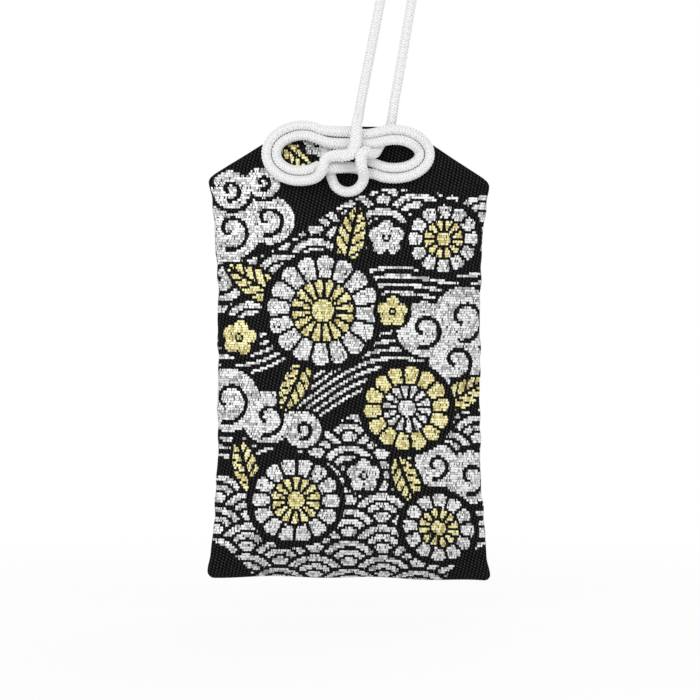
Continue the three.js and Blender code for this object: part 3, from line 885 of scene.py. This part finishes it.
# All floats of one metal thread, as rounded strips that dive into the cloth at both ends
def make_floats(name, thread, material, seed):
    rng = np.random.default_rng(seed)
    stations = len(FLOAT_STATIONS)
    lanes = len(FLOAT_LANES)
    ends = int((FLAT_WIDTH - 2 * EDGE_MARGIN) / END_PITCH)
    picks = int((FACE_LENGTH - TOP_MARGIN) / PICK_PITCH)
    end_u = (np.arange(ends + 1) - ends / 2) * END_PITCH
    pick_drop = TOP_MARGIN + (np.arange(picks) + 0.5) * PICK_PITCH
    grid_u, grid_drop = np.meshgrid((end_u[:-1] + end_u[1:]) / 2, pick_drop)
    points = []
    shades = []
    uvs = []
    for side, layout in ((-1, FRONT_LAYOUT), (1, BACK_LAYOUT)):
        figure = woven_figure(layout, -side * grid_u, -grid_drop)
        across, z = across_and_height(grid_u, grid_drop)
        from_edge = (1 - np.abs(across)) * half_width(z)
        on_gable = z > -SHOULDER_DROP - SHOULDER_ROUND
        figure[on_gable & (from_edge < GABLE_MARGIN)] = GROUND
        pick, start, stop = float_runs(figure, thread, rng)
        stray = rng.uniform(-1, 1, (3, len(pick)))
        u0 = end_u[start] + TIE_GAP / 2 + END_STRAY * stray[0]
        u1 = end_u[stop] - TIE_GAP / 2 + END_STRAY * stray[1]
        u = u0[:, None, None] + (u1 - u0)[:, None, None] * FLOAT_STATIONS[None, :, None]
        lane_width = FLOAT_WIDTH * FLOAT_TAPER[None, :, None] * FLOAT_LANES[None, None, :]
        drop = (pick_drop[pick] + PICK_STRAY * stray[2])[:, None, None] + lane_width
        u, drop = np.broadcast_arrays(u, drop)
        length = (u1 - u0)[:, None, None]
        tautness = clamp01(length / TAUT_LENGTH)
        rise = FLOAT_RISE * lerp(SHORT_FLOAT_RISE, 1.0, tautness)
        height = rise * np.minimum(FLOAT_PROFILE[None, :, None], FLOAT_ROUND[None, None, :])
        place = place_on_face(side, u, drop) + face_normal(side, u, drop) * height[..., None]
        points.append(place.reshape(-1, 3))
        shades.append(np.repeat(rng.uniform(0, 1, len(pick)), stations * lanes))
        uvs.append(np.stack([u.ravel(), drop.ravel()], axis=1))
    points = np.concatenate(points)
    faces = []
    for first in range(0, len(points), stations * lanes):
        for i in range(stations - 1):
            for k in range(lanes - 1):
                a = first + i * lanes + k
                faces.append((a, a + lanes, a + lanes + 1, a + 1))
    piece = mesh_object(name, to_frame(points), faces, material)
    add_vertex_value(piece, "shade", np.concatenate(shades))
    add_uv(piece, np.concatenate(uvs))
    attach(piece, "charm")
    return piece


# A point of an ear or of the ring, at an angle about its middle
def turn_point(middle, angle, wide, tall, out):
    x = middle["x"] + wide * math.cos(math.radians(angle))
    up = middle["up"] + tall * math.sin(math.radians(angle))
    return (x, up, out)


def right_ear_turn(turn):
    wide, tall = RIGHT_EAR["turns"][turn]
    points = []
    for angle in range(RIGHT_EAR["from_angle"], RIGHT_EAR["to_angle"] + 1, EAR_STEP_ANGLE):
        lift = smoothstep(angle, *RIGHT_EAR["climb"])
        out = lerp(ON_CLOTH, OVER_ONE, lift)
        points.append(turn_point(RIGHT_EAR, angle, wide, tall, out))
    return points


def left_ear_turn(turn):
    wide, tall = LEFT_EAR["turns"][turn]
    points = []
    for angle in range(LEFT_EAR["from_angle"], LEFT_EAR["to_angle"][turn] + 1, EAR_STEP_ANGLE):
        on_cloth = smoothstep(angle, *LEFT_EAR["descent"]) - smoothstep(angle, *LEFT_EAR["climb"])
        out = lerp(OVER_ONE, ON_CLOTH, on_cloth)
        points.append(turn_point(LEFT_EAR, angle, wide, tall, out))
    return points


def ring_arc():
    points = []
    for angle in range(RING["from_angle"], RING["to_angle"] + 1, 2 * EAR_STEP_ANGLE):
        settle = smoothstep(angle, 0, RING["settled_at"])
        out = lerp(RING["start_out"], ON_CLOTH, settle)
        points.append(turn_point(RING, -angle, RING["radius"], RING["radius"], out))
    return points


# Route of the knot as (across, up from the knot's middle, out from the front), one unbroken run
def knot_route():
    return [
        (7.55, 5.4, 1.15), (7.2, 4.2, ON_CLOTH), (6.5, 2.7, ON_CLOTH), (5.6, 1.2, ON_CLOTH),
        (4.95, 0.02, 1.4), (4.45, -0.6, 2.2), (3.65, -0.75, 3.45), (2.85, -0.5, 4.4),
        (2.2, -1.15, 4.65), (2.1, -2.2, 4.65), (2.3, -3.4, 4.3), (2.55, -4.5, 3),
        *ring_arc(),
        (-3.55, -3, ON_CLOTH), (-3.95, -1.6, ON_CLOTH), (-4, -0.4, 0.6), (-4, 0.1, -0.4),
        (-3.7, 0.15, -1.5), (-2.6, 0.1, INSIDE_RUN), (-1, 0.15, INSIDE_RUN), (0.8, 0.2, INSIDE_RUN),
        (2.4, 0.25, -1.5), (2.75, 0.25, -0.4), (2.9, -0.2, 0.45), (3.15, -1.5, ON_CLOTH),
        *right_ear_turn(0),
        (2.9, 1, OVER_ONE), (0, 1, OVER_ONE), (-3.2, 1.2, OVER_ONE),
        *left_ear_turn(0),
        (-4.2, -3.2, OVER_ONE), (-3, -3.2, OVER_ONE), (-1.6, -3.1, 2), (0, -3, 1.2),
        (1.6, -3.2, 1.05), (3, -3.95, 0.98),
        *right_ear_turn(1),
        (2.6, 2.76, OVER_ONE), (0, 3.2, OVER_ONE), (-2.2, 3.3, OVER_ONE),
        *left_ear_turn(1),
        (-6.1, -5.1, 3), (-5.1, -4.4, 4), (-4.55, -3.3, 4.6), (-4.25, -2.1, 4.65),
        (-3.6, -1.5, 4.6), (-2.4, -1.2, 4.55), (-0.9, -1.15, 4.5), (0.35, -0.75, 4.5),
        (1.05, 0.7, 4.6), (1.25, 2.4, 4.7), (1.35, 4, 4.5), (1.52, 5.3, 3.2), (1.7, 6.2, 1.7),
    ]


def knot_point(x, up, out):
    z = up - KNOT_DROP
    return (x, -float(half_depth(min(z, 0.0))) - out, z)


def loop_point(across, rise):
    return (LOOP_FOOT_X + across + rise * LOOP_LEAN, -HINGE_FRONT, HINGE_RISE + rise)


def cord_points():
    knot = [knot_point(*p) for p in knot_route()]
    left = [loop_point(-across, rise) for across, rise in LOOP_HALF]
    right = [loop_point(across, rise) for across, rise in reversed(LOOP_HALF)]
    return np.array(knot + left + [loop_point(0, LOOP_TOP)] + right)


# A closed smooth curve through points, of the centripetal kind, at even steps
def smooth_closed_path(points, step):
    count = len(points)
    fine = []
    shares = np.linspace(0, 1, CURVE_DIVISIONS, endpoint=False)[:, None]
    for i in range(count):
        p0, p1, p2, p3 = (points[(i + j - 1) % count] for j in range(4))
        d0, d1, d2 = (math.sqrt(np.linalg.norm(b - a)) for a, b in ((p0, p1), (p1, p2), (p2, p3)))
        t1 = ((p1 - p0) / d0 - (p2 - p0) / (d0 + d1) + (p2 - p1) / d1) * d1
        t2 = ((p2 - p1) / d1 - (p3 - p1) / (d1 + d2) + (p3 - p2) / d2) * d1
        c2 = -3 * p1 + 3 * p2 - 2 * t1 - t2
        c3 = 2 * p1 - 2 * p2 + t1 + t2
        fine.append(p1 + t1 * shares + c2 * shares ** 2 + c3 * shares ** 3)
    fine = np.concatenate(fine + [points[:1]])
    lengths = np.concatenate([[0], np.cumsum(np.linalg.norm(np.diff(fine, axis=0), axis=1))])
    total = lengths[-1]
    places = np.linspace(0, total, int(total / step), endpoint=False)
    return np.stack([np.interp(places, lengths, fine[:, k]) for k in range(3)], axis=1), total


# Directions across a closed path that turn as little as possible and meet again at its start
def cross_directions(path):
    tangent = np.roll(path, -1, axis=0) - np.roll(path, 1, axis=0)
    tangent /= np.linalg.norm(tangent, axis=1, keepdims=True)
    side = np.empty_like(path)
    current = np.cross(tangent[0], FIRST_SIDE_HINT)
    for i, direction in enumerate(tangent):
        current = current - direction * current.dot(direction)
        current /= np.linalg.norm(current)
        side[i] = current
    closing = current - tangent[0] * current.dot(tangent[0])
    up_first = np.cross(tangent[0], side[0])
    miss = math.atan2(closing.dot(up_first), closing.dot(side[0]))
    turn = -miss * np.arange(len(path)) / len(path)
    up = np.cross(tangent, side)
    turned = side * np.cos(turn)[:, None] + up * np.sin(turn)[:, None]
    return turned, np.cross(tangent, turned)


# Relief of a round braid: strands pass over two and under two,
# so their tops line up in columns of chevrons
def braid_relief(places, angles, pitch):
    along = places[:, None] / pitch
    around = angles[None, :] * BRAID_STRANDS / (2 * math.pi)
    first = along + around
    second = along - around
    first_index = np.floor(first)
    second_index = np.floor(second)
    first_over = np.mod(first_index - second_index, 4) < 2
    across_strand = np.where(first_over, first - first_index, second - second_index)
    along_float = np.where(
        first_over,
        np.mod(first_index - second + 1, 4) / 2,
        (np.mod(first - second_index, 4) - 2) / 2,
    )
    crown = np.sin(math.pi * across_strand) ** BRAID_ROUNDNESS
    dip = np.sin(math.pi * clamp01(along_float)) ** BRAID_DIP_ROUNDNESS
    return crown * (1 - BRAID_DIP + BRAID_DIP * dip)


def make_tube(name, rings, relief, material):
    count, sides = rings.shape[:2]
    points = rings.reshape(-1, 3)
    faces = []
    for i in range(count - 1):
        for k in range(sides):
            after = (k + 1) % sides
            here = i * sides
            there = here + sides
            faces.append((here + k, here + after, there + after, there + k))
    faces.append(tuple(reversed(range(sides))))
    faces.append(tuple((count - 1) * sides + k for k in range(sides)))
    piece = mesh_object(name, to_frame(points), faces, material)
    # The relief is kept per vertex so that the yarn's colour can paint shade into its valleys
    add_vertex_value(piece, "relief", relief.ravel())
    return piece


# In the middle of the knot the cord is pressed wider than it is thick
def pressed_scale(path):
    off_x = (path[:, 0] - PRESSED_MIDDLE[0]) / PRESSED_REACH[0]
    off_up = (path[:, 2] + KNOT_DROP - PRESSED_MIDDLE[1]) / PRESSED_REACH[1]
    weight = np.exp(-off_x ** 4 - off_up ** 4)
    wider = 1 + PRESSED_WIDER * weight
    return np.stack([wider, 1 - PRESSED_THINNER * weight, wider], axis=1)


# The whole cord in one closed run, cut above the knot where the hanging loop begins to bend
def make_cord(material):
    path, total = smooth_closed_path(cord_points(), CORD_STEP)
    path = np.roll(path, -int(np.argmax(path[:, 2])), axis=0)
    side, up = cross_directions(path)
    repeats = round(total / BRAID_PITCH)
    pitch = total / repeats
    places = np.arange(len(path)) * total / len(path)
    angles = 2 * math.pi * np.arange(CORD_SIDES) / CORD_SIDES
    relief = braid_relief(places, angles, pitch)
    radius = CORD_CROWN_DIAMETER / 2 - BRAID_RELIEF * (1 - relief)
    spokes = np.cos(angles)[None, :, None] * side[:, None] + np.sin(angles)[None, :, None] * up[:, None]
    rings = path[:, None] + spokes * radius[..., None] * pressed_scale(path)[:, None]
    above = path[:, 2] > CORD_SEAM_RISE
    first_below = int(np.argmin(above))
    last_below = len(path) - 1 - int(np.argmin(above[::-1]))
    knot_index = np.arange(first_below, last_below + 1)
    loop_index = np.concatenate([np.arange(last_below, len(path)), np.arange(0, first_below + 1)])
    knot = make_tube("knot", rings[knot_index], relief[knot_index], material)
    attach(knot, "charm")
    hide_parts("knot_cord")
    loop = make_tube("hanging_cord", rings[loop_index], relief[loop_index], material)
    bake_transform(loop)
    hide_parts("hanging_loop")


# Base colour from a value, by a ramp with each colour at its place
def colour_by(nodes, links, shader, value, places, colours):
    node = nodes.new("ShaderNodeValToRGB")
    while len(node.color_ramp.elements) < len(places):
        node.color_ramp.elements.new(0.5)
    for element, place, colour in zip(node.color_ramp.elements, places, colours):
        element.position = place
        element.color = (*colour, 1)
    links.new(value, node.inputs["Fac"])
    links.new(node.outputs["Color"], shader.inputs["Base Color"])


def bump(nodes, links, shader, height, strength, distance):
    node = add_node(nodes, "Bump", {"Strength": strength, "Distance": distance})
    links.new(height, node.inputs["Height"])
    links.new(node.outputs["Normal"], shader.inputs["Normal"])


# Lines across the weave at an angle, as the bands of a wave
def uv_lines(nodes, links, degrees, scale, distortion):
    uv = nodes.new("ShaderNodeUVMap")
    uv.uv_map = WEAVE_UV
    turn = add_node(nodes, "Mapping", {"Rotation": (0, 0, math.radians(degrees))})
    wave = add_node(nodes, "TexWave", {"Scale": scale, "Distortion": distortion, "Detail Scale": 3})
    links.new(uv.outputs["UV"], turn.inputs["Vector"])
    links.new(turn.outputs["Vector"], wave.inputs["Vector"])
    return wave.outputs["Fac"]


def uv_noise(nodes, links, scale):
    uv = nodes.new("ShaderNodeUVMap")
    uv.uv_map = WEAVE_UV
    noise = add_node(nodes, "TexNoise", {"Scale": scale, "Detail": 3})
    links.new(uv.outputs["UV"], noise.inputs["Vector"])
    return noise.outputs["Fac"]


def object_noise(nodes, links, scale, stretch=(1, 1, 1)):
    place = nodes.new("ShaderNodeTexCoord")
    size = add_node(nodes, "Mapping", {"Scale": stretch})
    noise = add_node(nodes, "TexNoise", {"Scale": scale, "Detail": 4})
    links.new(place.outputs["Object"], size.inputs["Vector"])
    links.new(size.outputs["Vector"], noise.inputs["Vector"])
    return noise.outputs["Fac"]


# Black ground cloth: twill dashes of slightly grey yarn
def ground_material():
    material, nodes, links, shader = new_material("black_twill")
    twill = uv_lines(nodes, links, degrees=62, scale=0.62, distortion=1.2)
    dashes = uv_lines(nodes, links, degrees=-12, scale=0.5, distortion=1.5)
    dots = combine(nodes, links, "MULTIPLY", twill, dashes)
    yarn = combine(nodes, links, "ADD", dots, uv_noise(nodes, links, scale=3.4))
    colour_by(nodes, links, shader, yarn, TWILL_STOPS, TWILL_TONES)
    set_inputs(shader, {"Roughness": 0.85, "Specular IOR Level": 0.04})
    bump(nodes, links, shader, dots, strength=0.5, distance=0.00008)
    return material


# Metal-wrapped weft: a tint per float, uneven foil, and the fine twist of the thread
def metal_thread_material(name, tones):
    material, nodes, links, shader = new_material(name)
    shade = nodes.new("ShaderNodeAttribute")
    shade.attribute_name = "shade"
    foil = uv_noise(nodes, links, scale=4.6)
    tint = combine(nodes, links, "MULTIPLY", shade.outputs["Fac"], foil)
    colour_by(nodes, links, shader, tint, METAL_STOPS, tones)
    twist = uv_lines(nodes, links, degrees=62, scale=1.6, distortion=0.8)
    rough = add_node(nodes, "MapRange", METAL_ROUGHNESS)
    links.new(twist, rough.inputs["Value"])
    links.new(rough.outputs["Result"], shader.inputs["Roughness"])
    set_inputs(shader, {"Metallic": 0.8})
    height = combine(nodes, links, "ADD", twist, foil)
    bump(nodes, links, shader, height, strength=0.4, distance=0.00005)
    return material


# Yarn with painted shade: its colour is darker in the valleys of its relief, where shade falls between
# the strands, and it has fine fibre along it
def valley_shaded_yarn_material(name, tones, roughness):
    material, nodes, links, shader = new_material(name)
    relief = nodes.new("ShaderNodeAttribute")
    relief.attribute_name = "relief"
    colour_by(nodes, links, shader, relief.outputs["Fac"], YARN_STOPS, tones)
    set_inputs(shader, {"Roughness": roughness, "Sheen Weight": 0.15})
    fibre = object_noise(nodes, links, scale=9000)
    bump(nodes, links, shader, fibre, strength=0.25, distance=0.00003)
    return material


# Plain-woven lining: crossed yarns
def lining_material():
    material, nodes, links, shader = new_material("lining_plain_weave")
    warp = uv_lines(nodes, links, degrees=0, scale=0.9, distortion=0.4)
    weft = uv_lines(nodes, links, degrees=90, scale=0.9, distortion=0.4)
    cloth = combine(nodes, links, "MULTIPLY", warp, weft)
    colour_by(nodes, links, shader, cloth, LINING_STOPS, LINING_TONES)
    set_inputs(shader, {"Roughness": 0.9, "Sheen Weight": 0.1})
    bump(nodes, links, shader, cloth, strength=0.5, distance=0.00006)
    return material


# Board, paper and wood: a fibre noise, drawn out along the grain, that tints the face and gives it relief
def fibre_material(name, tones, scale, stretch, roughness, depth):
    material, nodes, links, shader = new_material(name)
    fibre = object_noise(nodes, links, scale, stretch)
    colour_by(nodes, links, shader, fibre, FIBRE_STOPS, tones)
    set_inputs(shader, {"Roughness": roughness})
    bump(nodes, links, shader, fibre, strength=0.4, distance=depth)
    return material


# A better material on a piece whose own shape stays
def dress_node(node, material):
    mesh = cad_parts[node].data
    mesh.materials.clear()
    mesh.materials.append(material)


bpy.context.scene.view_settings.view_transform = "Standard"
make_camera()
make_world(WORLD_LEVEL)
pouch_middle = to_frame((0, 0, -FRAME_MIDDLE_DROP))
for lamp_name, offset, watts in LAMPS:
    make_softbox(lamp_name, pouch_middle + np.array(offset), pouch_middle, LAMP_SIZE, watts)
make_floor()
make_cord(valley_shaded_yarn_material("white_braid", BRAID_TONES_WITH_PAINTED_SHADE, roughness=0.6))
pouch = make_pouch(ground_material())
silver_thread = metal_thread_material("silver_thread", SILVER_TONES)
silver_weft = make_floats("silver_weft", SILVER, silver_thread, SILVER_SEED)
gold_thread = metal_thread_material("gold_thread", GOLD_TONES)
gold_weft = make_floats("gold_weft", GOLD, gold_thread, GOLD_SEED)
make_lining(lining_material())
black_thread = valley_shaded_yarn_material("black_thread", SEWING_TONES_WITH_PAINTED_SHADE, roughness=0.7)
for seam_side, seam_name in ((-1, "left"), (1, "right")):
    make_seam_thread(seam_side, seam_name, black_thread)
dress_node("core_card", fibre_material("grey_card", CARD_TONES, **CARD_FIBRE))
dress_node("talisman_wrapper", fibre_material("mulberry_paper", PAPER_TONES, **PAPER_FIBRE))
dress_node("talisman_slip", fibre_material("cypress_wood", WOOD_TONES, **WOOD_FIBRE))
